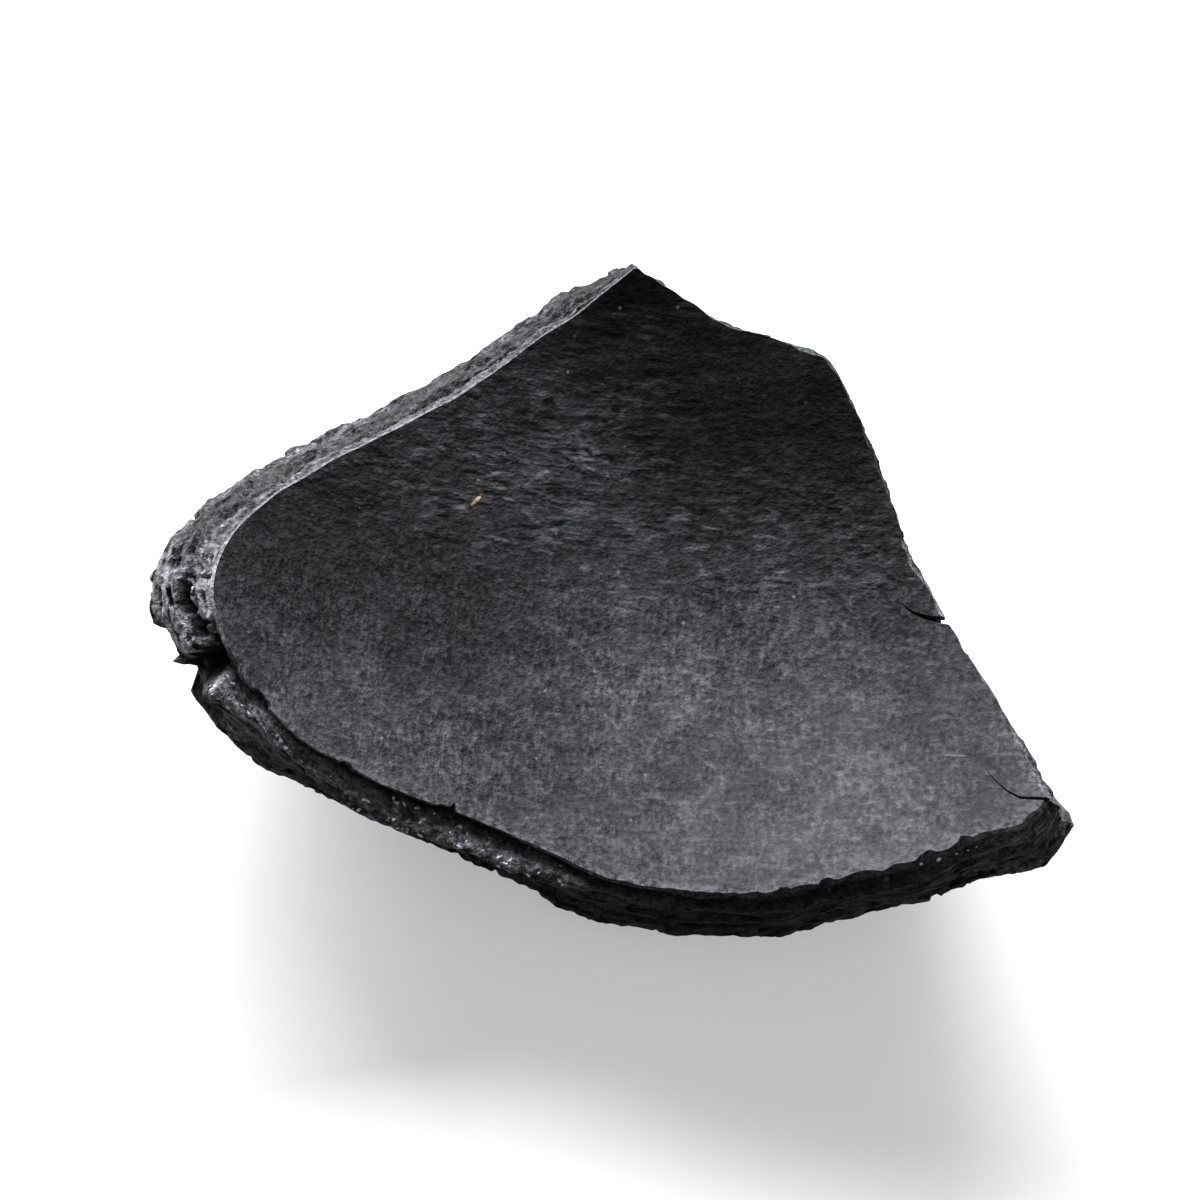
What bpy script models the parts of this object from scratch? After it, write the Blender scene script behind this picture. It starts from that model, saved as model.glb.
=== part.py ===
"""One piece of coconut shell charcoal, lying on its rounded back.

Metres, +Z up. The origin is under the middle of the piece, at the height of what it lies on.
The piece is first made as part of a whole shell, whose centre is the origin then, and is turned
and lowered onto its back at the end.
"""

import math

import bmesh
import bpy
import numpy as np
from mathutils import Vector, noise

MM = 0.001

# The shell that the piece broke from is close to a ball, with a wall of even thickness.
HOLLOW_RADIUS = 49.0 * MM
WALL = 4.5 * MM
WORN_DEPTH = 0.3 * MM  # how much of the back is worn flat where the piece lies

# How finely the piece is made: steps from its middle to its rim, and levels through the wall,
# from 0 at the hollow side to 1 at the back.
RIM_STEPS = 20
LEVELS = (0.0, 0.06, 0.11, 0.15, 0.21, 0.29, 0.36, 0.43, 0.50, 0.64, 0.81, 1.0)

# The rim of the hollow side, seen from above, clockwise from the tip, in millimetres.
# A corner is sharp. Split is how deep the layers have come apart, under a skin that is so thick, and
# gap is how far they have opened. Shelf is how far the layers under the gap stand out, and lean is how
# far the back's edge does.
RIM = (
    # name, x, y, corner, split, skin, gap, shelf, lean
    ("tip", 0.6, 20.9, True, 0.0, 1.2, 0.4, 0.0, -0.8),
    ("dip in the top edge", 6.4, 18.1, False, 0.0, 0.5, 0.4, 0.0, -0.7),
    ("top corner", 12.85, 16.65, True, 0.0, 0.5, 0.4, 0.0, -0.8),
    ("right edge", 16.35, 9.05, False, 0.0, 0.5, 0.4, 0.0, -0.7),
    ("above the step", 19.6, 1.4, True, 0.0, 0.5, 0.4, 0.0, -0.5),
    ("below the step", 20.4, 0.4, True, 0.0, 0.5, 0.4, 0.0, -0.6),
    ("lower right edge", 22.6, -4.0, False, 0.0, 0.5, 0.4, 0.0, -0.6),
    ("right corner", 24.8, -10.1, True, 0.0, 0.5, 0.4, 0.0, 0.4),
    ("blunt end of the corner", 23.4, -11.8, True, 0.0, 0.5, 0.4, 0.1, 0.6),
    ("bottom right", 14.9, -14.6, False, 0.3, 0.5, 0.4, 0.3, 0.2),
    ("bottom", 7.8, -16.2, False, 0.2, 0.5, 0.4, 0.3, 0.2),
    ("end of the split", -0.1, -15.5, False, 0.3, 0.4, 0.4, 0.4, 0.1),
    ("bottom left", -6.4, -13.2, False, 1.7, 0.4, 0.4, 1.2, -0.2),
    ("lower left", -14.65, -10.85, False, 2.2, 0.4, 0.4, 1.25, -0.4),
    ("left of the lower left", -19.6, -9.3, False, 1.5, 0.4, 0.4, 0.8, -0.4),
    ("narrowest part of the ledge", -21.4, -8.15, False, 0.9, 0.4, 0.4, 0.5, -0.4),
    ("ledge's broken end", -23.0, -6.7, False, 1.7, 0.4, 0.5, 1.5, -0.5),
    ("ledge broken off", -24.4, -5.1, False, 1.1, 0.9, 0.5, -1.0, -1.0),
    ("below the left end", -25.35, -3.4, False, 1.6, 1.6, 0.6, 0.5, 0.3),
    ("left end", -25.9, -0.9, False, 1.5, 1.6, 0.6, 0.5, 0.45),
    ("left shoulder", -24.3, 2.55, False, 0.3, 1.5, 0.5, 0.3, 0.45),
    ("upper left edge", -16.9, 8.1, False, 0.3, 1.3, 0.5, 0.1, 0.45),
    ("middle of that edge", -10.65, 12.1, False, 0.3, 1.3, 0.5, 0.0, 0.5),
    ("below the tip", -4.8, 16.35, False, 0.2, 1.3, 0.4, 0.2, 0.1),
    ("ledge below the tip", -2.4, 18.2, False, 0.2, 1.2, 0.4, 0.1, 0.0),
)
SHELF_THICKNESS = 1.3 * MM  # of the ledge that stands out under the gap

# Unevenness: how far each kind of bump stands out, about how far apart the bumps are, and a number
# that picks their pattern.
SWELL = (0.35 * MM, 17.0 * MM, 0.0)
BACK_LUMP = (0.16 * MM, 6.0 * MM, 11.3)
HOLLOW_DIMPLE = (0.06 * MM, 5.0 * MM, 23.7)
RIM_CHIP = (0.20 * MM, 2.8 * MM, 61.5)
BREAK_LUMP = (0.14 * MM, 2.6 * MM, 31.9)
BREAK_GRIT = (0.10 * MM, 1.2 * MM, 47.2)
ROUGH_FROM = 0.2  # share of the wall within which the break's roughness grows from nothing

# The layers of the wall: how far one stands out past the next, how far it runs along the break before
# it breaks off, how many there are, and the number that picks their pattern.
LAYER_STEP = 0.34 * MM
LAYER_RUN = 9.0 * MM
LAYERS = 6.0
LAYER_PATTERN = 5.1

CHAR_COLOUR = (0.030, 0.030, 0.032, 1.0)
CHAR_ROUGHNESS = 0.72


def clear_scene():
    for old in list(bpy.data.objects):
        bpy.data.objects.remove(old, do_unlink=True)


def bump(point, kind):
    """Height at a point of a field of smooth bumps of that kind."""
    height, spacing, pattern = kind
    return height * noise.noise(Vector(point) / spacing + Vector((pattern, pattern, pattern)))


def smooth_step(low, high, value):
    share = min(1.0, max(0.0, (value - low) / (high - low)))
    return share * share * (3.0 - 2.0 * share)


def rim_curve(count):
    """The rim as that many points, each x, y and its five traits, with every named point among them."""
    named = np.array([row[1:3] for row in RIM]) * MM
    corner = np.array([row[3] for row in RIM])
    traits = np.array([row[4:9] for row in RIM]) * MM
    step = np.roll(named, -1, axis=0) - named
    length = np.linalg.norm(step, axis=1)
    ahead = step / length[:, None]
    behind = np.roll(ahead, 1, axis=0)
    mean = (ahead + behind) / np.linalg.norm(ahead + behind, axis=1)[:, None]
    leaving = np.where(corner[:, None], ahead, mean)
    arriving = np.where(corner[:, None], behind, mean)
    ends = np.round(np.cumsum(length) / length.sum() * count).astype(int)
    starts = np.concatenate([[0], ends[:-1]])
    rows = []
    for i, (first, last) in enumerate(zip(starts, ends)):
        j = (i + 1) % len(RIM)
        for k in range(last - first):
            t = k / (last - first)
            ease = t * t * (3 - 2 * t)
            place = (
                named[i] * (1 - ease)
                + named[j] * ease
                + leaving[i] * length[i] * (t - 2 * t**2 + t**3)
                + arriving[j] * length[i] * (t**3 - t**2)
            )
            rows.append([*place, *(traits[i] * (1 - ease) + traits[j] * ease)])
    return np.array(rows)


def outward_from(places):
    """Unit vectors in plan that point out of the rim, which runs clockwise."""
    along = np.roll(places, -2, axis=0) - np.roll(places, 2, axis=0)
    out = np.stack([-along[:, 1], along[:, 0]], axis=1)
    return out / np.linalg.norm(out, axis=1)[:, None]


def wall_point(x, y, level):
    """The point of the wall at that level, where x and y are its place in plan at the hollow side."""
    away = Vector((x, y, -math.sqrt(HOLLOW_RADIUS**2 - x * x - y * y))).normalized()
    point = away * (HOLLOW_RADIUS + level * WALL)
    height = (
        bump(away * HOLLOW_RADIUS, SWELL)
        + level * bump(point, BACK_LUMP)
        + (1 - level) * bump(point, HOLLOW_DIMPLE)
    )
    return point + away * height


def break_offset(level, place, arc, split, skin, gap, shelf, lean):
    """How far the broken edge stands out past the rim at that level through the wall."""
    depth = level * WALL
    share = (depth - skin) / gap
    opening = math.sqrt(math.sin(math.pi * share)) if 0 < share < 1 else 0.0
    ledge = smooth_step(skin + gap / 2, skin + gap, depth)
    ledge -= smooth_step(skin + gap + SHELF_THICKNESS / 2, skin + gap + 2 * SHELF_THICKNESS, depth)
    point = wall_point(*place, level)
    layer = noise.noise(Vector((arc / LAYER_RUN, level * LAYERS, LAYER_PATTERN)))
    rough = bump(point, BREAK_LUMP) + bump(point, BREAK_GRIT) + LAYER_STEP * layer
    rough *= smooth_step(0.0, ROUGH_FROM, level)
    return shelf * ledge - split * opening + lean * level + rough


def break_rings():
    """The broken edge as rings of plan places, one for each level, from the hollow side to the back."""
    rim = rim_curve(8 * RIM_STEPS)
    places = rim[:, :2].copy()
    outward = outward_from(places)
    for i, (x, y) in enumerate(rim[:, :2]):
        places[i] += outward[i] * bump((x, y, 0.0), RIM_CHIP)
    arcs = np.cumsum(np.linalg.norm(places - np.roll(places, 1, axis=0), axis=1))
    rings = []
    for level in LEVELS:
        offsets = [
            break_offset(level, place, arc, *row[2:])
            for place, arc, row in zip(places, arcs, rim)
        ]
        rings.append(places + outward * np.array(offsets)[:, None])
    return rings


def ring_and_turn(i, j):
    """The square ring of a grid that step (i, j) lies on, and how far round it, from 0 to 1, clockwise."""
    ring = max(abs(i), abs(j))
    if ring == 0:
        return 0, 0.0
    if j == ring and i < ring:
        walked = i + ring
    elif i == ring and j > -ring:
        walked = 3 * ring - j
    elif j == -ring and i > -ring:
        walked = 5 * ring - i
    else:
        walked = 7 * ring + j
    return ring, walked / (8 * ring)


def add_face_sheet(bm, rim_places, level):
    """One face of the shell: a grid pressed out to the rim. Its rim vertices come back in the rim's order."""
    middle = rim_places.mean(axis=0)
    made = bmesh.ops.create_grid(
        bm, x_segments=2 * RIM_STEPS, y_segments=2 * RIM_STEPS, size=RIM_STEPS
    )
    rim = {}
    count = len(rim_places)
    for vertex in made["verts"]:
        ring, turn = ring_and_turn(round(vertex.co.x), round(vertex.co.y))
        at = turn * count
        before, share = int(at), at - int(at)
        edge = (
            rim_places[before % count] * (1 - share)
            + rim_places[(before + 1) % count] * share
        )
        vertex.co = wall_point(*(middle + (edge - middle) * ring / RIM_STEPS), level)
        if ring == RIM_STEPS:
            rim[round(at) % count] = vertex
    return [rim[i] for i in range(count)]


def make_piece():
    """The whole piece as a closed mesh: the hollow side, the broken edge and the back."""
    bm = bmesh.new()
    rings = break_rings()
    loops = [add_face_sheet(bm, rings[0], LEVELS[0])]
    for level, ring in zip(LEVELS[1:-1], rings[1:-1]):
        loops.append([bm.verts.new(wall_point(*place, level)) for place in ring])
    loops.append(add_face_sheet(bm, rings[-1], LEVELS[-1]))
    for upper, lower in zip(loops, loops[1:]):
        for i in range(len(upper)):
            j = (i + 1) % len(upper)
            bm.faces.new((upper[i], upper[j], lower[j], lower[i]))
    bmesh.ops.recalc_face_normals(bm, faces=bm.faces)
    return bm


def centre_of_mass(bm):
    """Summed over the tetrahedra from the origin to each triangle of the closed mesh."""
    moment = Vector()
    volume = 0.0
    for loops in bm.calc_loop_triangles():
        a, b, c = (loop.vert.co for loop in loops)
        part = a.dot(b.cross(c))
        volume += part
        moment += (a + b + c) / 4 * part
    return moment / volume


def lay_on_back(bm):
    """Turns the piece until its centre of mass is straight below the shell's centre, where it lies still."""
    turn = centre_of_mass(bm).rotation_difference(Vector((0.0, 0.0, -1.0)))
    bmesh.ops.rotate(bm, cent=(0, 0, 0), matrix=turn.to_matrix(), verts=bm.verts)
    floor = min(v.co.z for v in bm.verts) + WORN_DEPTH
    for vertex in bm.verts:
        vertex.co.z = max(vertex.co.z, floor)
    xs = [v.co.x for v in bm.verts]
    ys = [v.co.y for v in bm.verts]
    middle = Vector(((min(xs) + max(xs)) / 2, (min(ys) + max(ys)) / 2, floor))
    bmesh.ops.translate(bm, vec=-middle, verts=bm.verts)


def char_material():
    material = bpy.data.materials.new("charcoal")
    material.use_nodes = True
    shader = material.node_tree.nodes["Principled BSDF"]
    shader.inputs["Base Color"].default_value = CHAR_COLOUR
    shader.inputs["Roughness"].default_value = CHAR_ROUGHNESS
    shader.inputs["Metallic"].default_value = 0.0
    material.diffuse_color = CHAR_COLOUR
    return material


def build():
    clear_scene()
    bm = make_piece()
    lay_on_back(bm)
    mesh = bpy.data.meshes.new("shell_shard")
    bm.to_mesh(mesh)
    bm.free()
    mesh.materials.append(char_material())
    mesh.shade_smooth()
    mesh.set_sharp_from_angle(angle=math.radians(38.0))
    shard = bpy.data.objects.new("shell_shard", mesh)
    bpy.context.scene.collection.objects.link(shard)


build()
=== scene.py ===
# Coconut shell charcoal: one broken piece, lying on its rounded back with its hollow side up.
import math

import bmesh
import bpy
import numpy as np
from mathutils import Matrix, Vector, noise


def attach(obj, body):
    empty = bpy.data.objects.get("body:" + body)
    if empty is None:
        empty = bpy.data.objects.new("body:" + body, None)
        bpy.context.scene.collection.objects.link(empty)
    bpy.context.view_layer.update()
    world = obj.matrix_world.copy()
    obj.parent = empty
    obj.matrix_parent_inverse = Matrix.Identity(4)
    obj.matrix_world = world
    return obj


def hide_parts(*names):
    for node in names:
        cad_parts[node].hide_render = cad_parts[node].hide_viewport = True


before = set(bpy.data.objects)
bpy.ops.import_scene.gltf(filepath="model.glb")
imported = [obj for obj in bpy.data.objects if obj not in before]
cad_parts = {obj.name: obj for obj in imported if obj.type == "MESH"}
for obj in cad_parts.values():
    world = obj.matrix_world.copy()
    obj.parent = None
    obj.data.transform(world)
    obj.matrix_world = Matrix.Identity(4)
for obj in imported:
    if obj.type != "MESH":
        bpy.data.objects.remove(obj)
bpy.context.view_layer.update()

mm = 0.001


# The shell. Lengths are in millimetres here, and its centre is the origin until the piece is laid down.

shell = {
    "hollowRadius": 49.0,
    "wall": 4.5,
    "wornDepth": 0.3,      # how much of the back is worn flat where the piece lies
    "rimSteps": 82,        # mesh steps from the middle of the piece to its rim
    "rimBand": 3,          # mesh steps over which the worn line along the rim, painted lighter as a highlight, fades
    "wallSteps": 60,       # mesh steps through the wall
    "wallSamples": 181,    # places through the wall at which its shape is taken, to spread those steps
    "finerAbove": 1.7,     # how much closer together they are at the hollow side than at the back
    "cornerSpan": 8,       # mesh steps on each side over which a corner's direction is evened out
    "sharpAngle": 50.0,    # degrees between faces, above which an edge is drawn sharp
}

# The rim of the hollow side, clockwise from above. Split is how deep the layers have come apart, under a
# skin that is so thick, and gap is how far they have opened. Shelf is how far the layers under the gap
# stand out, lean is how far the back's edge does, crumble is how much of the hollow's edge is gone, and
# pale is how light the break's colour is: partly dust and ash, partly painted light where the break is
# lit and painted shade where it lies in shade, as along the bottom.
rim = [
    # x, y, sharp corner, split, skin, gap, shelf, lean, crumble, pale
    (0.0, 20.4, False, 0.0, 1.2, 0.4, 0.0, -0.5, 0.0, 0.14),         # left of the tip
    (0.6, 20.9, False, 0.0, 1.2, 0.4, 0.0, -0.8, 0.10, 0.12),        # tip
    (1.2, 20.6, False, 0.0, 1.2, 0.4, 0.0, -0.8, 0.10, 0.12),        # right of the tip
    (6.45, 18.2, False, 0.0, 0.5, 0.4, 0.0, -0.7, 0.15, 0.06),       # dip in the top edge
    (12.3, 16.5, False, 0.0, 0.5, 0.4, 0.0, -0.8, 0.22, 0.04),       # top corner, which is rounded
    (13.35, 15.4, False, 0.0, 0.5, 0.4, 0.0, -0.8, 0.22, 0.04),      # its other end
    (16.45, 9.1, False, 0.0, 0.5, 0.4, 0.0, -0.7, 0.16, 0.08),       # right edge
    (18.05, 4.95, False, 0.0, 0.5, 0.4, 0.0, -0.6, 0.24, 0.22),      # where that edge is worn and painted paler, partly light caught on the worn edge
    (19.7, 1.45, True, 0.0, 0.5, 0.4, 0.0, -0.5, 0.20, 0.25),        # above the step
    (20.4, 0.4, True, 0.0, 0.5, 0.4, 0.0, -0.6, 0.18, 0.20),         # below the step
    (22.6, -4.0, False, 0.0, 0.5, 0.4, 0.0, -0.6, 0.18, 0.16),       # lower right edge
    (24.8, -10.1, True, 0.0, 0.5, 0.4, 0.0, 0.4, 0.15, 0.30),        # right corner
    (23.4, -11.8, True, 0.0, 0.5, 0.4, 0.1, 0.6, 0.15, 0.30),        # blunt end of that corner
    (18.7, -13.45, False, 0.15, 0.5, 0.4, 0.2, 0.4, 0.20, 0.10),     # chipped part beside it
    (17.3, -14.05, False, 0.2, 0.5, 0.4, 0.25, 0.3, 0.20, 0.05),     # end of the chipped part
    (14.9, -14.6, False, 0.3, 0.5, 0.4, 0.3, 0.2, 0.20, 0.03),       # bottom right
    (7.8, -16.2, False, 0.2, 0.5, 0.4, 0.3, 0.2, 0.20, 0.03),        # bottom
    (-0.1, -15.5, False, 0.3, 0.3, 0.3, 0.4, 0.1, 0.10, 0.05),       # where the split ends
    (-6.35, -13.1, False, 1.7, 0.25, 0.5, 1.5, -0.2, 0.05, 0.05),    # bottom left
    (-14.65, -10.85, False, 2.2, 0.25, 0.5, 1.4, -0.4, 0.05, 0.05),  # lower left
    (-19.6, -9.3, False, 1.4, 0.2, 0.26, 0.8, -0.4, 0.05, 0.13),     # left of the lower left
    (-21.4, -8.15, False, 0.9, 0.15, 0.22, 0.62, -0.4, 0.05, 0.50),  # the ledge at its narrowest
    (-23.75, -5.97, False, 1.7, 0.3, 0.45, 1.7, -0.5, 0.05, 0.28),   # the ledge's broken end
    (-24.45, -5.0, False, 1.1, 0.8, 0.5, -1.0, -1.0, 0.10, 0.03),    # where the ledge is missing
    (-25.1, -3.95, False, 0.3, 1.2, 0.5, 0.5, 0.3, 0.05, 1.00),      # below the left end
    (-25.9, -0.9, False, 0.2, 1.2, 0.5, 0.5, 0.45, 0.0, 0.95),       # left end
    (-25.43, 0.75, False, 0.2, 1.2, 0.5, 0.4, 0.45, 0.0, 0.48),      # above the left end
    (-24.3, 2.55, False, 0.1, 1.3, 0.5, 0.3, 0.45, 0.0, 0.27),       # left shoulder
    (-16.9, 8.1, False, 0.3, 1.3, 0.5, 0.1, 0.45, 0.0, 0.28),        # upper left edge
    (-10.65, 12.1, False, 0.3, 1.3, 0.5, 0.0, 0.5, 0.0, 0.32),       # middle of that edge
    (-4.8, 16.35, False, 0.2, 1.3, 0.4, 0.2, 0.1, 0.0, 0.22),        # below the tip
    (-2.4, 18.2, False, 0.2, 1.2, 0.4, 0.1, 0.0, 0.0, 0.22),         # ledge below the tip
]
shelfThickness = 1.3       # of the ledge that stands out under the gap
ledgeSlope = 0.2           # how far down the top of the ledge slopes
roughFrom = 0.2            # share of the wall within which the break's roughness grows from nothing
# How far in the gap is seen, and how fine its mesh is beyond that.
gapMesh = {"seenTo": -0.5, "beyond": 0.2}
# How far down the hollow's edge is crumbled, how unevenly, and up to which crumbling it keeps some skin.
crumble = {"depth": 0.45, "uneven": 1.2, "keepsSkin": 0.3}

# bumps: how far they stand out, how far apart they are, and a number that picks the pattern
bumps = {
    "swell": (0.35, 17.0, 0.0),
    "backLump": (0.16, 6.0, 11.3),
    "hollowDimple": (0.06, 5.0, 23.7),
    "rimChip": (0.20, 2.8, 61.5),
    "breakLump": (0.14, 2.6, 31.9),
    "breakGrit": (0.10, 1.2, 47.2),
    "breakGrain": (0.09, 0.5, 71.3),
    "rimCrumb": (0.22, 0.9, 83.1),
    "hollowWrinkle": (0.05, 2.2, 13.9),
    "hollowGrain": (0.022, 0.75, 37.4),
    "backGrain": (0.04, 0.9, 53.8),
    "backRidge": (0.045, 1.1, 91.2),
}
layers = {"step": 0.34, "run": 9.0, "count": 6.0, "pattern": 5.1}     # the coarse layers of the wall
leaves = {"step": 0.08, "run": 1.3, "count": 15.0, "pattern": 9.7}    # and the fine ones in each
crumbs = {"height": 0.11, "apart": 0.50}                              # grains that stand out of it
pits = {"depth": 0.30, "along": 0.9, "through": 0.30, "from": 0.30, "to": 0.45, "pattern": 3.3}
# The firm skin of the hollow side, and how deep the wall under it is paler.
lining = {"thickness": 0.30, "lip": 0.04, "groove": 0.10, "paleTo": 1.1, "fades": 0.2}
# The soft layer in the middle of the wall, which is darker, but not where the break is pale.
middleLayer = {"depth": 2.45, "half": 0.95, "wave": 0.6, "dark": 0.65, "notWherePale": (0.5, 0.8)}
# Dust and painted light on top of the ledge, which is painted paler as if lit though it lies in shade:
# how far out, how far down and on how broad a ledge, and how much paler it is.
ledgeDustAndLight = {"out": (-0.20, 0.50), "down": (0.5, 1.0), "shelf": (0.4, 0.8), "paleAndLit": 0.30}

# Single marks on the break: place on the rim, depth below the hollow side, half length along the rim,
# half width through the wall, and how far it stands out.
breakMarks = {
    "nick": (-10.4, -12.5, 0.0, 0.50, 0.45, -0.18),
    "nickPoint": (-10.05, -12.6, 0.0, 0.16, 0.50, -0.42),
    "smallNick": (-16.9, -10.4, 0.0, 0.3, 0.5, -0.2),
    "slit": (-25.5, -1.7, 1.85, 1.15, 0.24, -2.0),
    "endOfTheSlit": (-25.2, -3.0, 1.55, 0.55, 0.34, -1.6),
    "belowTheBlock": (-24.9, -4.1, 0.85, 0.75, 0.45, -0.8),
    "notchByTheLedge": (-22.5, -7.3, 0.0, 0.75, 0.40, -0.35),
    "lipByTheLedge": (-23.7, -6.0, 0.0, 0.55, 0.40, 0.15),
    "crackAboveTheBlock": (-25.5, -0.5, 0.8, 0.10, 0.5, -0.25),
    "crackBelowTheBlock": (-25.3, -2.9, 0.65, 0.12, 0.45, -0.3),
    "recessAbove": (-24.75, -4.5, 3.0, 0.35, 1.8, -0.5),
    "recess": (-24.45, -5.0, 2.9, 0.50, 2.0, -0.5),
    "ledgeCorner": (-23.8, -5.9, 2.4, 0.5, 1.2, 0.30),
    "chunkCorner": (-25.3, -3.3, 4.6, 0.95, 1.2, -1.0),
    "lowerRimChip": (18.2, -13.7, 0.0, 0.45, 0.50, -0.22),
    "chipBesideIt": (20.4, -12.9, 0.0, 0.30, 0.45, -0.18),
    "chipAtTheBottom": (12.3, -15.05, 0.0, 0.40, 0.45, -0.20),
    "chipFartherLeft": (9.9, -15.6, 0.0, 0.30, 0.45, -0.18),
    "bulgeBelowTheTip": (-2.2, 18.3, 3.4, 1.2, 1.7, 0.22),
    "pitNearShoulder": (-22.7, 4.4, 0.95, 0.40, 0.16, -0.35),
    "pitAtShoulder": (-23.2, 3.8, 1.8, 0.45, 0.18, -0.4),
    "pitAboveTheSlit": (-24.9, 1.2, 2.0, 0.45, 0.2, -0.5),
    "smallPitThere": (-25.0, 1.1, 3.0, 0.25, 0.16, -0.35),
    "pitBesideTheSlit": (-25.3, 0.2, 3.0, 0.3, 0.2, -0.35),
    "pitAtTheBack": (-25.5, -1.2, 3.9, 0.45, 0.28, -0.35),
    "pitInUpperEdge": (-17.3, 8.5, 2.3, 0.7, 0.2, -0.35),
    "pitHigher": (-20.4, 6.3, 1.2, 0.5, 0.15, -0.3),
    "pitMiddle": (-9.4, 13.2, 2.0, 0.9, 0.2, -0.35),
    "pitNearTip": (-3.9, 17.2, 2.2, 0.8, 0.2, -0.35),
}
markWobble = {"share": 0.45, "apart": 0.6, "pattern": 8.8}    # how ragged their outlines are
markPaintedShade = (0.15, 0.6)      # painted shade: how deep a mark is where the break in it begins to be painted darker, and where it is wholly so


def bump(point, name, stretch=(1, 1, 1)):
    height, spacing, pattern = bumps[name]
    scaled = Vector(p / spacing / s for p, s in zip(point, stretch))
    return height * noise.noise(scaled + Vector((pattern, pattern, pattern)))


def smoothStep(low, high, value):
    share = min(1.0, max(0.0, (value - low) / (high - low)))
    return share * share * (3.0 - 2.0 * share)


def within(distance, half):
    # 1 inside, 0 outside, with a short soft edge
    return 1.0 - smoothStep(0.7, 1.2, abs(distance) / half)


def rimCurve(count):
    # a smooth curve through the places of the rim, with what its rows say carried along it
    named = np.array([row[:2] for row in rim])
    corner = np.array([row[2] for row in rim])
    traits = np.array([row[3:] for row in rim])
    step = np.roll(named, -1, axis=0) - named
    length = np.linalg.norm(step, axis=1)
    ahead = step / length[:, None]
    behind = np.roll(ahead, 1, axis=0)
    mean = (ahead + behind) / np.linalg.norm(ahead + behind, axis=1)[:, None]
    leaving = np.where(corner[:, None], ahead, mean)
    arriving = np.where(corner[:, None], behind, mean)
    ends = np.round(np.cumsum(length) / length.sum() * count).astype(int)
    starts = np.concatenate([[0], ends[:-1]])
    rows = []
    for i, (first, last) in enumerate(zip(starts, ends)):
        j = (i + 1) % len(rim)
        for k in range(last - first):
            t = k / (last - first)
            ease = t * t * (3 - 2 * t)
            place = (named[i] * (1 - ease) + named[j] * ease
                     + leaving[i] * length[i] * (t - 2 * t**2 + t**3)
                     + arriving[j] * length[i] * (t**3 - t**2))
            rows.append([*place, *(traits[i] * (1 - ease) + traits[j] * ease)])
    return np.array(rows)


def outwardFrom(places):
    # the way out of the piece at each place of its rim
    span = shell["cornerSpan"]
    along = np.roll(places, -span, axis=0) - np.roll(places, span, axis=0)
    out = np.stack([-along[:, 1], along[:, 0]], axis=1)
    return out / np.linalg.norm(out, axis=1)[:, None]


# Low relief. The grain of the hollow side runs across the piece in its upper half and along it in the
# lower half. The stretch of a texture is along x, y and z.
hollowGrain = {
    "turnsAt": (-2.0, 4.0),
    "wrinkle": (1.6, 0.7, 0.7),
    "upper": (1.9, 0.8, 0.8),
    "lower": (0.8, 1.4, 0.8),
    "lowerShare": 0.6,
}
backRidges = {"way": math.radians(24.0), "stretch": (9.0, 0.8, 1.0)}
crest = {
    # a low curved ridge on the back
    "centre": (-6.0, -2.5),
    "radius": 8.0,
    "middle": (-8.5, 5.1),
    "reach": 6.5,
    "half": 0.4,
    "height": 0.13,
}


def hollowRelief(point):
    across = smoothStep(*hollowGrain["turnsAt"], point.y)
    upper = bump(point, "hollowGrain", hollowGrain["upper"])
    lower = bump(point, "hollowGrain", hollowGrain["lower"])
    wrinkle = bump(point, "hollowWrinkle", hollowGrain["wrinkle"])
    return wrinkle + across * upper + (1 - across) * hollowGrain["lowerShare"] * lower


def crestShare(point):
    # 1 along the curved ridge, fading towards its ends
    away = math.hypot(point.x - crest["centre"][0], point.y - crest["centre"][1])
    along = math.hypot(point.x - crest["middle"][0], point.y - crest["middle"][1])
    beside = smoothStep(crest["half"], 0.0, abs(away - crest["radius"]))
    return beside * smoothStep(crest["reach"], 0.0, along)


def backRelief(point):
    way = backRidges["way"]
    along = point.x * math.cos(way) + point.y * math.sin(way)
    across = point.y * math.cos(way) - point.x * math.sin(way)
    return (bump((along, across, 0.0), "backRidge", backRidges["stretch"]) + bump(point, "backGrain")
            + crest["height"] * crestShare(point))


def wallPoint(x, y, level, fine=False):
    # a point of the wall over a place on the hollow side, from level 0 there to 1 at the back
    away = Vector((x, y, -math.sqrt(shell["hollowRadius"]**2 - x * x - y * y))).normalized()
    point = away * (shell["hollowRadius"] + level * shell["wall"])
    height = (bump(away * shell["hollowRadius"], "swell")
              + level * bump(point, "backLump")
              + (1 - level) * bump(point, "hollowDimple"))
    if fine:
        height += level * backRelief(point) - (1 - level) * hollowRelief(point)
    return point + away * height


def breakShape(depth, split, skin, gap, shelf, lean):
    # how far the break stands out at a depth, but for its roughness and single marks
    share = (depth - skin) / gap
    opening = math.sqrt(math.sin(math.pi * share)) if 0 < share < 1 else 0.0
    ledge = smoothStep(skin + gap / 2, skin + gap + ledgeSlope, depth)
    ledge -= smoothStep(skin + gap + shelfThickness / 2, skin + gap + 2 * shelfThickness, depth)
    return shelf * ledge - split * opening + lean * depth / shell["wall"]


def spreadLevels(*shape):
    # levels of the wall that lie about evenly over the break, its gap and its ledge
    depths = np.linspace(0.0, shell["wall"], shell["wallSamples"])
    out = np.array([breakShape(depth, *shape) for depth in depths])
    across = np.diff(out) * np.where(out[1:] > gapMesh["seenTo"], 1.0, gapMesh["beyond"])
    down = np.diff(depths) * np.linspace(shell["finerAbove"], 1.0, len(depths) - 1)
    walked = np.concatenate([[0.0], np.cumsum(np.hypot(across, down))])
    steps = np.linspace(0.0, walked[-1], shell["wallSteps"] + 1)
    return np.interp(steps, walked, depths) / shell["wall"]


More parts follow.
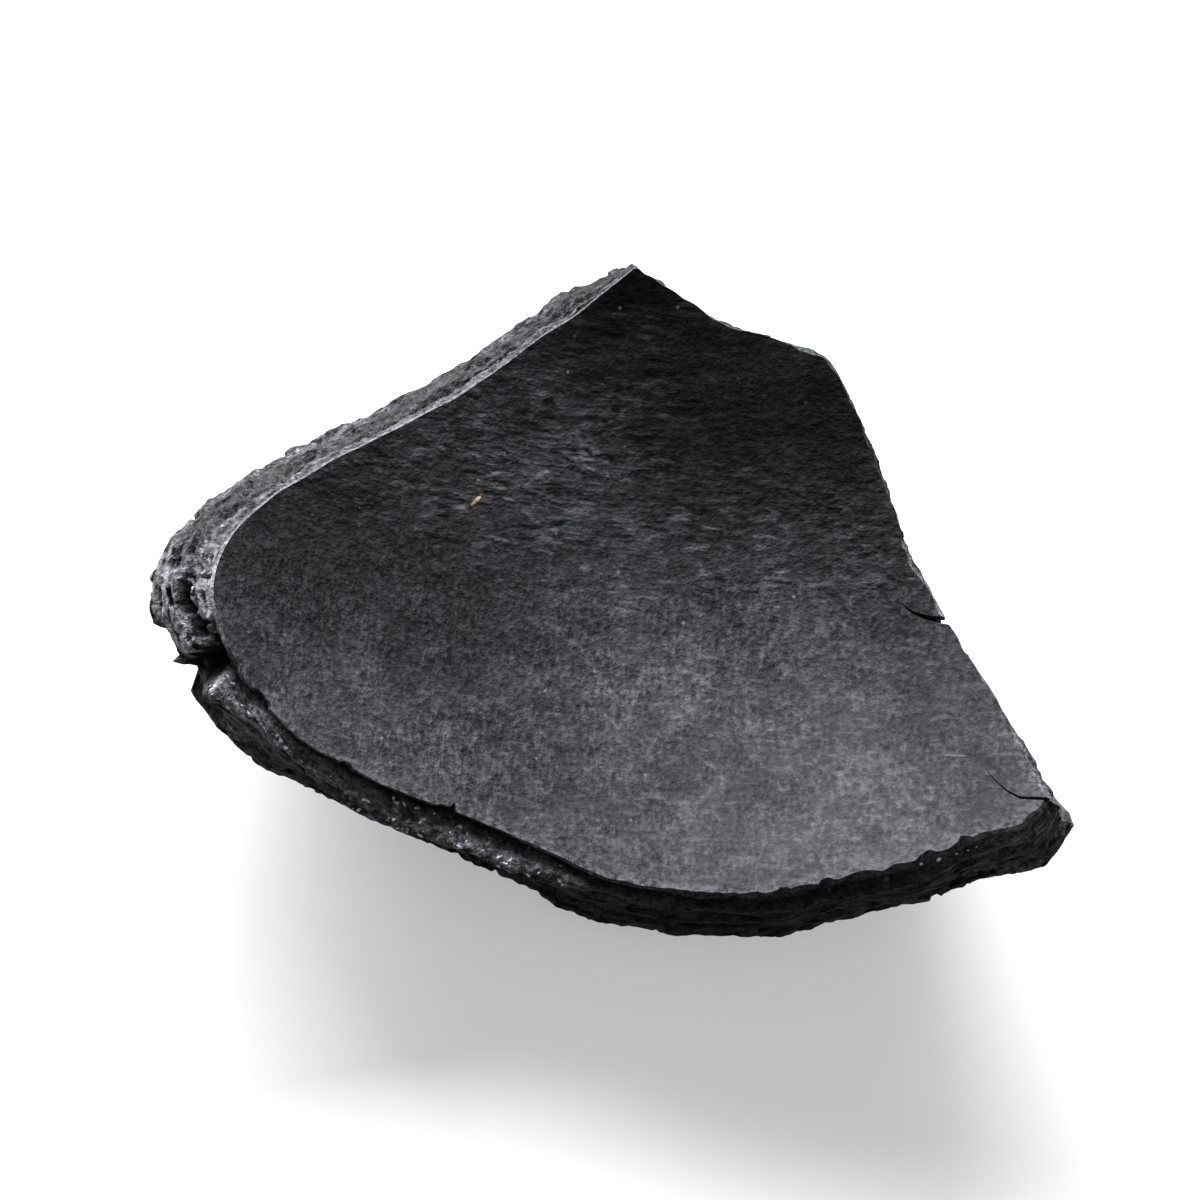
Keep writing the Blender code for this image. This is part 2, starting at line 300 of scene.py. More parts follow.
def breakOffset(level, place, arc, marks, split, skin, gap, shelf, lean, crumbled, paleAndLit):
    # for a place on the rim and a level of the wall: how far the break stands out, how pale it is, with
    # dust and painted light and shade, and how much it belongs to the top of the ledge
    depth = level * shell["wall"]
    shape = breakShape(depth, split, skin, gap, shelf, lean)
    wander = noise.noise(Vector((arc, depth, markWobble["pattern"])) / markWobble["apart"])
    wobble = 1.0 + markWobble["share"] * wander
    single = sum(out * within(wobble * (away**3 + (abs(depth - middle) / half)**3)**(1 / 3), 1.0)
                 for away, middle, half, out in marks)
    point = wallPoint(*place, level)
    layer = noise.noise(Vector((arc / layers["run"], level * layers["count"], layers["pattern"])))
    rough = bump(point, "breakLump") + bump(point, "breakGrit") + layers["step"] * layer
    rough *= smoothStep(0.0, roughFrom, level)
    leaf = noise.noise(Vector((arc / leaves["run"], level * leaves["count"], leaves["pattern"])))
    nearest = noise.voronoi(point / crumbs["apart"])[0][0]
    hole = noise.noise(Vector((arc / pits["along"], depth / pits["through"], pits["pattern"])))
    fine = (bump(point, "breakGrain") + leaves["step"] * leaf + crumbs["height"] * (0.5 - nearest)
            - pits["depth"] * smoothStep(pits["from"], pits["to"], hole))
    thick = lining["thickness"]
    fine *= smoothStep(thick * 0.6, thick * 1.6, depth)
    skinLine = (lining["lip"] * within(depth, thick)
                - lining["groove"] * within(depth - thick * 1.5, thick * 0.5))
    skinLine *= smoothStep(crumble["keepsSkin"], 0.0, crumbled)
    worn = crumbled * (1.0 - smoothStep(0.0, crumble["depth"], depth))
    worn *= 1.0 + crumble["uneven"] * bump(point, "rimCrumb") / bumps["rimCrumb"][0]
    below = depth - skin - gap
    top = smoothStep(*ledgeDustAndLight["out"], shape) * (1.0 - smoothStep(*ledgeDustAndLight["down"], below))
    top *= smoothStep(*ledgeDustAndLight["shelf"], shelf)
    soft = middleLayer["dark"] * (1.0 - smoothStep(*middleLayer["notWherePale"], paleAndLit))
    aside = depth - middleLayer["depth"] - middleLayer["wave"] * layer
    paleAndLit *= 1.0 - soft * within(aside, middleLayer["half"])
    # dust and painted light on top of the ledge
    paleAndLit = min(1.0, paleAndLit + ledgeDustAndLight["paleAndLit"] * top)
    # painted shade: the break is painted darker in marks that sink into it
    paleAndLit *= 1.0 - smoothStep(*markPaintedShade, -single)
    return shape + rough + fine + skinLine - max(worn, 0.0) + single, paleAndLit, top


def marksNear(places, arcs):
    # for each rim place, the marks that reach it: how far off as a share of their half length, depth,
    # half width through the wall, height
    found = [[] for _ in places]
    whole = arcs[-1]
    for x, y, depth, half, through, out in breakMarks.values():
        at = arcs[np.argmin((places[:, 0] - x)**2 + (places[:, 1] - y)**2)]
        for i, arc in enumerate(arcs):
            away = min(abs(arc - at), whole - abs(arc - at)) / half
            if away < 2.0:
                found[i].append((away, depth, through, out))
    return found


def breakRings():
    rows = rimCurve(8 * shell["rimSteps"])
    places = rows[:, :2].copy()
    outward = outwardFrom(places)
    for i, (x, y) in enumerate(rows[:, :2]):
        places[i] += outward[i] * bump((x, y, 0.0), "rimChip")
    arcs = np.cumsum(np.linalg.norm(places - np.roll(places, 1, axis=0), axis=1))
    marks = marksNear(places, arcs)
    spread = np.array([spreadLevels(*row[2:7]) for row in rows]).transpose()
    rings, pales, tops = [], [], []
    for levels in spread:
        found = np.array([breakOffset(level, place, arc, near, *row[2:])
                          for level, place, arc, near, row in zip(levels, places, arcs, marks, rows)])
        rings.append(places + outward * found[:, :1])
        pales.append(found[:, 1])
        tops.append(found[:, 2])
    return spread, rings, arcs, pales, tops


def ringAndTurn(i, j):
    # for a point of a square grid: which ring round the middle it is on, and how far round, from 0 to 1
    ring = max(abs(i), abs(j))
    if ring == 0:
        return 0, 0.0
    if j == ring and i < ring:
        walked = i + ring
    elif i == ring and j > -ring:
        walked = 3 * ring - j
    elif j == -ring and i > -ring:
        walked = 5 * ring - i
    else:
        walked = 7 * ring + j
    return ring, walked / (8 * ring)


def addFaceSheet(bm, rimPlaces, level, slot, rimLayer, crestLayer):
    # the hollow side or the back, as a square grid drawn out to the rim
    middle = rimPlaces.mean(axis=0)
    steps = shell["rimSteps"]
    made = bmesh.ops.create_grid(bm, x_segments=2 * steps, y_segments=2 * steps, size=steps)
    found = {}
    count = len(rimPlaces)
    for vertex in made["verts"]:
        ring, turn = ringAndTurn(round(vertex.co.x), round(vertex.co.y))
        at = turn * count
        before, share = int(at), at - int(at)
        edge = rimPlaces[before % count] * (1 - share) + rimPlaces[(before + 1) % count] * share
        vertex.co = wallPoint(*(middle + (edge - middle) * ring / steps), level, fine=True)
        vertex[rimLayer] = max(0.0, 1.0 - (steps - ring) / shell["rimBand"])
        vertex[crestLayer] = crestShare(vertex.co) * level
        if ring == steps:
            found[round(at) % count] = vertex
    for face in {face for vertex in made["verts"] for face in vertex.link_faces}:
        face.material_index = slot
    return [found[i] for i in range(count)]


def centreOfMass(bm):
    moment = Vector()
    volume = 0.0
    for loops in bm.calc_loop_triangles():
        a, b, c = (loop.vert.co for loop in loops)
        part = a.dot(b.cross(c))
        volume += part
        moment += (a + b + c) / 4 * part
    return moment / volume


def layOnBack(bm):
    # turned so that its centre of mass is straight above the part that it lies on, which is worn flat
    turn = centreOfMass(bm).rotation_difference(Vector((0.0, 0.0, -1.0)))
    bmesh.ops.rotate(bm, cent=(0, 0, 0), matrix=turn.to_matrix(), verts=bm.verts)
    floor = min(v.co.z for v in bm.verts) + shell["wornDepth"]
    for vertex in bm.verts:
        vertex.co.z = max(vertex.co.z, floor)
    xs = [v.co.x for v in bm.verts]
    ys = [v.co.y for v in bm.verts]
    middle = Vector(((min(xs) + max(xs)) / 2, (min(ys) + max(ys)) / 2, floor))
    bmesh.ops.translate(bm, vec=-middle, verts=bm.verts)
    return Matrix.Translation(-middle) @ turn.to_matrix().to_4x4()


hollowSlot, breakSlot, backSlot = 0, 1, 2


def makeShard():
    bm = bmesh.new()
    depthLayer = bm.verts.layers.float.new("depth")
    arcLayer = bm.verts.layers.float.new("alongRim")
    paleLayer = bm.verts.layers.float.new("paleAndLit")
    topLayer = bm.verts.layers.float.new("onLedge")
    rimLayer = bm.verts.layers.float.new("nearRim")
    crestLayer = bm.verts.layers.float.new("crest")
    spread, rings, arcs, pales, tops = breakRings()
    print("broken edge shaped:", len(rings), "levels of", len(rings[0]), "points")
    loops = [addFaceSheet(bm, rings[0], 0.0, hollowSlot, rimLayer, crestLayer)]
    for levels, ring in zip(spread[1:-1], rings[1:-1]):
        loops.append([bm.verts.new(wallPoint(*place, level)) for level, place in zip(levels, ring)])
    loops.append(addFaceSheet(bm, rings[-1], 1.0, backSlot, rimLayer, crestLayer))
    for upper, lower in zip(loops, loops[1:]):
        for i in range(len(upper)):
            j = (i + 1) % len(upper)
            face = bm.faces.new((upper[i], upper[j], lower[j], lower[i]))
            face.material_index = breakSlot
    bmesh.ops.recalc_face_normals(bm, faces=bm.faces)
    for vertex in bm.verts:
        vertex[depthLayer] = vertex.co.length - shell["hollowRadius"]
    for i, loop in enumerate(loops):
        for vertex, level, arc, paleAndLit, top in zip(loop, spread[i], arcs, pales[i], tops[i]):
            vertex[depthLayer] = level * shell["wall"]
            vertex[arcLayer] = arc
            vertex[paleLayer] = paleAndLit
            vertex[topLayer] = top
    laid = layOnBack(bm)
    bmesh.ops.scale(bm, vec=(mm, mm, mm), verts=bm.verts)
    mesh = bpy.data.meshes.new("charcoalShard")
    bm.to_mesh(mesh)
    bm.free()
    shard = bpy.data.objects.new("charcoalShard", mesh)
    bpy.context.scene.collection.objects.link(shard)
    print("shard mesh:", len(mesh.polygons), "faces")
    return shard, laid


# Cracks that run in from the edge, as places on the hollow side from the mouth inward. Width is at the
# mouth, and reach is the share of the wall that the crack goes through there.
cracks = {
    "atTheStep": {"path": [(21.2, 0.75), (19.9, 0.95), (18.9, 1.15), (18.1, 1.5), (17.4, 2.1)],
                  "width": 0.62, "reach": 1.15},
    "nearTheCorner": {"path": [(25.9, -10.35), (24.5, -10.2), (23.4, -10.1), (22.8, -9.7), (22.2, -9.0),
                               (21.7, -8.2)],
                      "width": 0.26, "reach": 0.9},
}
# Width and reach at the inner end, how far above the hollow side a cutter starts, and how narrow its
# foot is.
crackEnd = {"width": 0.03, "reach": 0.12, "above": -0.15, "narrows": 0.35}


def crackCutter(name, laid):
    path = [Vector(place) for place in cracks[name]["path"]]
    bm = bmesh.new()
    loops = []
    for i, place in enumerate(path):
        share = i / (len(path) - 1)
        width = cracks[name]["width"] * (1 - share) + crackEnd["width"] * share
        reach = cracks[name]["reach"] * (1 - share) + crackEnd["reach"] * share
        way = (path[min(i + 1, len(path) - 1)] - path[max(i - 1, 0)]).normalized()
        side = Vector((-way.y, way.x)) * width / 2
        foot = side * crackEnd["narrows"]
        corners = [(place + side, crackEnd["above"]), (place - side, crackEnd["above"]),
                   (place - foot, reach), (place + foot, reach)]
        loops.append([bm.verts.new(laid @ wallPoint(*spot, level) * mm) for spot, level in corners])
    for near, far in zip(loops, loops[1:]):
        for k in range(4):
            bm.faces.new((near[k], near[(k + 1) % 4], far[(k + 1) % 4], far[k]))
    bm.faces.new(loops[0])
    bm.faces.new(reversed(loops[-1]))
    bmesh.ops.recalc_face_normals(bm, faces=bm.faces)
    for face in bm.faces:
        face.material_index = breakSlot
    mesh = bpy.data.meshes.new(name)
    bm.to_mesh(mesh)
    bm.free()
    cutter = bpy.data.objects.new(name, mesh)
    bpy.context.scene.collection.objects.link(cutter)
    return cutter


def cutCracks(shard, laid):
    for name in cracks:
        cutter = crackCutter(name, laid)
        cut = shard.modifiers.new(name, "BOOLEAN")
        cut.operation = "DIFFERENCE"
        cut.solver = "EXACT"
        cut.object = cutter
    bpy.context.view_layer.update()
    evaluated = shard.evaluated_get(bpy.context.evaluated_depsgraph_get())
    cutMesh = bpy.data.meshes.new_from_object(evaluated)
    cutMesh.name = "charcoalShardCut"
    plain = shard.data
    shard.modifiers.clear()
    shard.data = cutMesh
    bpy.data.meshes.remove(plain)
    for name in cracks:
        bpy.data.objects.remove(bpy.data.objects[name], do_unlink=True)
    cutMesh.shade_smooth()
    cutMesh.set_sharp_from_angle(angle=math.radians(shell["sharpAngle"]))
    print("cracks cut:", len(cutMesh.polygons), "faces")


# Surfaces. Every texture is placed in millimetres of the object itself.

def newMaterial(name):
    material = bpy.data.materials.new(name)
    material.use_nodes = True
    return material, material.node_tree, material.node_tree.nodes["Principled BSDF"]


def node(tree, kind, inputs=None, **settings):
    made = tree.nodes.new(kind)
    for key, value in settings.items():
        setattr(made, key, value)
    for key, value in (inputs or {}).items():
        if isinstance(value, bpy.types.NodeSocket):
            tree.links.new(value, made.inputs[key])
        else:
            made.inputs[key].default_value = value
    return made


def places(tree):
    coords = node(tree, "ShaderNodeTexCoord").outputs["Object"]
    return node(tree, "ShaderNodeVectorMath", {0: coords, 3: 1 / mm}, operation="SCALE").outputs[0]


def stretched(tree, vector, scale, turn=0.0):
    return node(tree, "ShaderNodeMapping", {"Vector": vector, "Scale": scale,
                "Rotation": (0.0, 0.0, math.radians(turn))}).outputs[0]


def grain(tree, vector, scale, detail=2.0, rough=0.5):
    return node(tree, "ShaderNodeTexNoise",
                {"Vector": vector, "Scale": scale, "Detail": detail, "Roughness": rough}).outputs["Fac"]


def attribute(tree, name):
    return node(tree, "ShaderNodeAttribute", attribute_name=name).outputs["Fac"]


def maths(tree, operation, *values):
    return node(tree, "ShaderNodeMath", dict(enumerate(values)), operation=operation).outputs[0]


def both(tree, first, second):
    return maths(tree, "MULTIPLY", first, second)


def swing(tree, texture, share):
    # a texture that varies about 0.5, made stronger or weaker
    return maths(tree, "MULTIPLY_ADD", maths(tree, "SUBTRACT", texture, 0.5), share, 0.5)


def moved(tree, first, second):
    return node(tree, "ShaderNodeVectorMath", {0: first, 1: second}).outputs[0]


def fade(tree, value, low, high, start=0.0, end=1.0):
    return node(tree, "ShaderNodeMapRange", {"Value": value, "From Min": low, "From Max": high,
                "To Min": start, "To Max": end}).outputs[0]


def ramp(tree, value, stops):
    made = node(tree, "ShaderNodeValToRGB", {"Fac": value})
    elements = made.color_ramp.elements
    while len(elements) < len(stops):
        elements.new(0.5)
    for element, (position, colour) in zip(elements, stops):
        element.position = position
        element.color = (*colour, 1.0)
    return made.outputs["Color"]


def blend(tree, share, first, second, kind="RGBA", way="MIX"):
    made = node(tree, "ShaderNodeMix", data_type=kind, blend_type=way)
    for name, value in (("Factor", share), ("A", first), ("B", second)):
        sockets = [s for s in made.inputs if s.name == name and s.enabled]
        if isinstance(value, bpy.types.NodeSocket):
            tree.links.new(value, sockets[0])
        else:
            sockets[0].default_value = (*value, 1.0) if isinstance(value, tuple) else value
    return [s for s in made.outputs if s.enabled][0]


def grey(level, tint=0.10):
    # char is a slightly cold grey
    return (level * (1 - tint * 0.3), level, level * (1 + tint))


def toned(tree, texture, stops, levels):
    return ramp(tree, texture, list(zip(stops, map(grey, levels))))


def mixed(tree, *parts):
    # textures that vary about 0.5, each with its weight, added up about 0.5
    total = 0.5 - sum(weight for _, weight in parts) / 2
    for value, weight in parts:
        total = maths(tree, "MULTIPLY_ADD", value, weight, total)
    return total


def times(tree, colour, factor):
    return node(tree, "ShaderNodeVectorMath", {0: colour, 3: factor}, operation="SCALE").outputs[0]


def finished(tree, shader, colour, height, look):
    relief = node(tree, "ShaderNodeBump", {"Height": height, "Distance": look["relief"] * mm}).outputs[0]
    tree.links.new(colour, shader.inputs["Base Color"])
    shader.inputs["Roughness"].default_value = look["roughness"]
    shader.inputs["Specular IOR Level"].default_value = look["specular"]
    tree.links.new(relief, shader.inputs["Normal"])


def speckles(tree, at, apart, size, share):
    # 1 on small round grains, about so far apart, on that share of the cells
    cells = node(tree, "ShaderNodeTexVoronoi", {"Vector": at, "Scale": 1 / apart, "Randomness": 1.0})
    pick = node(tree, "ShaderNodeSeparateColor", {"Color": cells.outputs["Color"]}).outputs[0]
    chosen = maths(tree, "LESS_THAN", pick, share)
    near = fade(tree, cells.outputs["Distance"], size / apart, size / apart * 0.5)
    return both(tree, near, chosen)


def streakAt(tree, at, laid, start, end, width, deep=1.5, softFrom=0.6):
    # 1 on a thin ellipse between two places on the hollow side, soft from that share of it outward
    ends = [laid @ wallPoint(*place, 0.0) for place in (start, end)]
    middle = (ends[0] + ends[1]) / 2
    way = ends[1] - ends[0]
    made = node(tree, "ShaderNodeMapping", {
        "Vector": at, "Location": middle, "Rotation": (0.0, 0.0, math.atan2(way.y, way.x)),
        "Scale": (way.length / 2, width / 2, deep)}, vector_type="TEXTURE").outputs[0]
    length = node(tree, "ShaderNodeVectorMath", {0: made}, operation="LENGTH").outputs["Value"]
    return fade(tree, length, 1.0, softFrom)


def spotAt(tree, at, laid, place, reach):
    # 1 at a place on the hollow side, fading to 0 at that reach
    away = node(tree, "ShaderNodeVectorMath", {0: at, 1: laid @ wallPoint(*place, 0.0)},
                operation="DISTANCE").outputs["Value"]
    return node(tree, "ShaderNodeMapRange", {"Value": away, "From Min": reach, "From Max": 0.0},
                interpolation_type="SMOOTHSTEP").outputs[0]


hollowLook = {
    "tones": (0.0086, 0.0214, 0.049),   # darkest, middle and lightest
    "stops": (0.22, 0.50, 0.80),        # where they come in the texture
    "roughness": 0.72,
    "specular": 0.03,
    "relief": 0.14,         # millimetres
    "dashAndHighlight": 0.075,          # colour of the short pale dashes of grain, partly painted highlights on fine ridges
    # partly dark grain and partly painted shade beside fine ridges and in dents
    "darkDashAndShade": 0.005,
    "dust": 0.10,
    "whiteSpeck": 0.075,
    "fibre": (0.26, 0.225, 0.175),      # a bit of husk fibre that the fire left
    "fibreEdge": (0.050, 0.032, 0.020),
    "scratch": 0.075,
    # painted highlight on the ridge below the tip
    "ridge": 0.070,
    "wornRimHighlight": 0.055,       # of the worn line along the lower rim, painted lighter as a highlight
    # of its patches, from warmer to colder
    "hues": [(0.40, (1.04, 0.98, 1.03)), (0.60, (0.99, 1.00, 1.01))],
}
hollowTexture = {
    # how fine it is along x, y and z, and its turn in degrees
    "upperDashes": ((0.50, 1.9, 2.2), 8.0),
    "lowerDashes": ((3.2, 1.4, 2.5), 0.0),
    "shortDashes": ((0.75, 3.0, 2.6), 5.0),
    # how fine it is
    "mottle": 1.1,
    "grit": 3.0,
    "patches": 0.30,
    "dust": (1.3, 0.14, 0.35),      # how far apart, size, and share of the places that have a grain
    "speck": (0.24, 0.26),          # length and width
    "turnsAt": (-1.5, 4.0),         # where the lower dashes give way to the upper
    "wornRimHighlight": (-4.0, -9.0),        # where the worn line with its painted highlight begins, and where it is full
}
hollowSpots = {
    # place, reach in millimetres, and how strong there
    "fainterDashes": ((11.5, 15.5), 13.0, 0.4),
    "smoother": ((15.0, -12.0), 20.0, 0.68),
    "rougher": ((12.5, 3.5), 11.0, 1.25),
    "fewDashesAtTheCorner": ((12.0, 15.0), 13.0, 0.1),
    "fewDashesAtTheLeft": ((-18.0, 2.0), 14.0, 0.3),
}
hollowMarks = {
    # from and to on the hollow side, and width
    "fibre": ((-8.6, 6.4), (-7.85, 7.2), 0.27),
    "fibreEdge": ((-8.95, 6.0), (-7.3, 7.8), 0.85),
    "scratch": ((19.3, -7.3), (20.9, -7.4), 0.12),
    "ridgeRising": ((-6.35, 7.4), (-3.1, 9.4), 0.40),
    "ridgeTop": ((-2.5, 9.7), (-0.3, 10.6), 0.9),
    "ridgeFalling": ((-1.7, 9.5), (1.9, 8.7), 0.40),
    "ridgeAbove": ((-0.3, 12.0), (1.0, 13.0), 0.35),
    "hollowBesideIt": ((-7.6, 10.3), (-4.7, 8.8), 0.6),
    "hollowBelowIt": ((-2.7, 9.6), (-0.1, 8.8), 0.5),
}
whiteSpecks = [(-23.5, -3.3), (-12.2, 4.7), (-14.5, -8.2), (-14.0, -9.6), (-15.3, -4.5), (-2.0, 2.1),
               (5.8, 4.1), (-3.8, -4.1), (-21.0, -3.0)]
hollowPaintedShadeAndLight = [
    # painted shade and light: darker towards the tip and the upper right, lighter towards the middle and
    # the lower right, with some patches that are the char's own tone; place, reach in millimetres, and
    # how light the colour is there
    ((1.0, 20.0), 11.0, 0.30),
    ((13.0, 13.0), 13.0, 0.23),
    ((5.0, 11.7), 9.0, 0.46),
    ((-5.0, 9.5), 6.0, 1.25),
    ((-19.0, 3.0), 12.0, 0.55),
    ((-9.0, 0.5), 10.0, 0.62),
    ((-10.5, 11.5), 6.0, 1.30),
    ((17.0, 4.0), 8.0, 0.60),
    ((2.0, -2.0), 9.0, 1.46),
    ((-19.0, -7.0), 8.0, 1.42),
    ((-12.0, -10.0), 9.0, 1.17),
    ((11.0, -10.0), 14.0, 1.40),
    ((18.0, -9.0), 11.0, 1.27),
]


def strengthAt(tree, at, laid, name):
    place, reach, strength = hollowSpots[name]
    return fade(tree, spotAt(tree, at, laid, place, reach), 0.0, 0.8, 1.0, strength)


def hollowMaterial(laid):
    material, tree, shader = newMaterial("hollowSkin")
    at = places(tree)
    upward = node(tree, "ShaderNodeSeparateXYZ", {"Vector": at}).outputs["Y"]

    # the grain, with its dashes across the upper half and along the lower one
    wavering = mixed(tree, (upward, 1.0), (grain(tree, at, 0.3), 8.0))
    upper = fade(tree, wavering, *hollowTexture["turnsAt"])
    across = grain(tree, stretched(tree, at, *hollowTexture["upperDashes"]), 1.0, 2.0, 0.6)
    along = grain(tree, stretched(tree, at, *hollowTexture["lowerDashes"]), 1.0, 2.0, 0.6)
    dashes = blend(tree, upper, along, across, "FLOAT")
    mottle = grain(tree, at, hollowTexture["mottle"], 2.0, 0.6)
    grit = grain(tree, at, hollowTexture["grit"], 2.0, 0.6)
    patches = grain(tree, at, hollowTexture["patches"], 2.0, 0.5)
    calm = both(tree, strengthAt(tree, at, laid, "fainterDashes"),
                fade(tree, grain(tree, at, 0.42, 1.0), 0.40, 0.60, 0.45, 1.15))
    dashes = swing(tree, dashes, calm)
    surface = mixed(tree, (dashes, 0.9), (mottle, 0.45), (grit, 0.7))
    even = both(tree, strengthAt(tree, at, laid, "smoother"), strengthAt(tree, at, laid, "rougher"))
    surface = swing(tree, surface, even)
    shade = mixed(tree, (surface, 1.0), (patches, 0.5))
    colour = toned(tree, shade, hollowLook["stops"], hollowLook["tones"])

    # short pale and dark dashes, partly grain and partly painted highlights and shade on fine ridges
    # with no relief under them
    shortDashes = grain(tree, stretched(tree, at, *hollowTexture["shortDashes"]), 1.0, 0.5)
    where = both(tree, fade(tree, upper, 0.0, 1.0, 0.25, 1.0),
                 fade(tree, grain(tree, at, 0.55, 1.0), 0.42, 0.58, 0.15, 1.0))
    for name in ("fewDashesAtTheCorner", "fewDashesAtTheLeft"):
        where = both(tree, where, strengthAt(tree, at, laid, name))
    for low, high, level in ((0.60, 0.70, "dashAndHighlight"), (0.40, 0.30, "darkDashAndShade")):
        mask = both(tree, fade(tree, shortDashes, low, high), where)
        colour = blend(tree, mask, colour, grey(hollowLook[level]))

    # the ridge below the tip, painted lighter as a highlight on its top, and the dents beside it,
    # painted darker as shade; none of these stand out in the mesh
    grainy = fade(tree, grit, 0.42, 0.62)
    for name in ("hollowBesideIt", "hollowBelowIt", "ridgeRising", "ridgeTop", "ridgeFalling",
                 "ridgeAbove"):
        level = "ridge" if name.startswith("ridge") else "darkDashAndShade"
        mask = both(tree, streakAt(tree, at, laid, *hollowMarks[name]), grainy)
        colour = blend(tree, mask, colour, grey(hollowLook[level]))

    # painted shade and light over broad areas, hues, and the worn line along the lower rim with its
    # painted highlight
    for place, reach, tone in hollowPaintedShadeAndLight:
        spot = spotAt(tree, at, laid, place, reach)
        colour = times(tree, colour, fade(tree, spot, 0.0, 1.0, 1.0, tone))
    hue = ramp(tree, grain(tree, at, 0.40, 1.0), hollowLook["hues"])
    colour = blend(tree, 1.0, colour, hue, "RGBA", "MULTIPLY")
    # painted highlight: the lower rim's edge is lighter, partly wear and partly light caught on the edge
    line = both(tree, both(tree, attribute(tree, "nearRim"), fade(tree, grit, 0.44, 0.58)),
                fade(tree, upward, *hollowTexture["wornRimHighlight"]))
    colour = blend(tree, line, colour, grey(hollowLook["wornRimHighlight"]))

    # dust, specks, the scratch and the bit of fibre
    dust = both(tree, speckles(tree, at, *hollowTexture["dust"]), fade(tree, calm, 0.45, 0.85, 0.3, 1.0))
    colour = blend(tree, dust, colour, grey(hollowLook["dust"]))
    length, width = hollowTexture["speck"]
    for place in whiteSpecks:
        speck = streakAt(tree, at, laid, place, (place[0] + length, place[1]), width)
        colour = blend(tree, speck, colour, grey(hollowLook["whiteSpeck"]))
    scratch = streakAt(tree, at, laid, *hollowMarks["scratch"])
    colour = blend(tree, scratch, colour, grey(hollowLook["scratch"]))
    fibreEdge = both(tree, streakAt(tree, at, laid, *hollowMarks["fibreEdge"]), grainy)
    colour = blend(tree, fibreEdge, colour, hollowLook["fibreEdge"])
    colour = blend(tree, streakAt(tree, at, laid, *hollowMarks["fibre"]), colour, hollowLook["fibre"])
    finished(tree, shader, colour, surface, hollowLook)
    return material


breakLook = {
    # the sooty colours also stand for painted shade, and the pale ones for dust and painted light
    "sootAndShade": (0.002, 0.006, 0.014),     # darkest, middle and lightest
    "paleAndLit": (0.018, 0.085, 0.200),
    "stops": (0.25, 0.50, 0.78),
    "pitShade": 0.002,
    "glint": 0.26,
    # the skin is paler, partly a painted highlight on its broken edge
    "lining": 0.12,
    "underTheLining": 1.15,             # how much lighter the wall is next to it
    "crumb": 0.08,
    "litLedgeGrain": 0.42,
    "chip": 0.40,
    "roughness": 0.60,
    "specular": 0.05,
    "relief": 0.12,
}
breakTexture = {
    "leaves": 4.5,                  # how much faster they change through the wall
    "grit": 3.4,
    "pits": (1.0, 2.4, 1.0),
    "wander": 2.5,                  # how fine the wavering is that makes the grains uneven
    # how far apart, size, and share of the places that have a grain
    "crumbs": (1.1, 0.17, 0.4),
    "litLedgeGrains": (0.60, 0.19, 0.50),
    "glints": (0.42, 0.18, 0.35),
}
paleChips = {
    # tiny flakes just below the lower rim: from and to, and width
    "first": ((17.75, -14.0), (18.0, -13.95), 0.20),
    "second": ((18.75, -13.75), (19.1, -13.65), 0.28),
    "third": ((19.9, -13.35), (20.1, -13.3), 0.18),
    "fourth": ((20.55, -13.15), (20.8, -13.05), 0.22),
    "fifth": ((21.05, -12.9), (21.25, -12.85), 0.20),
}


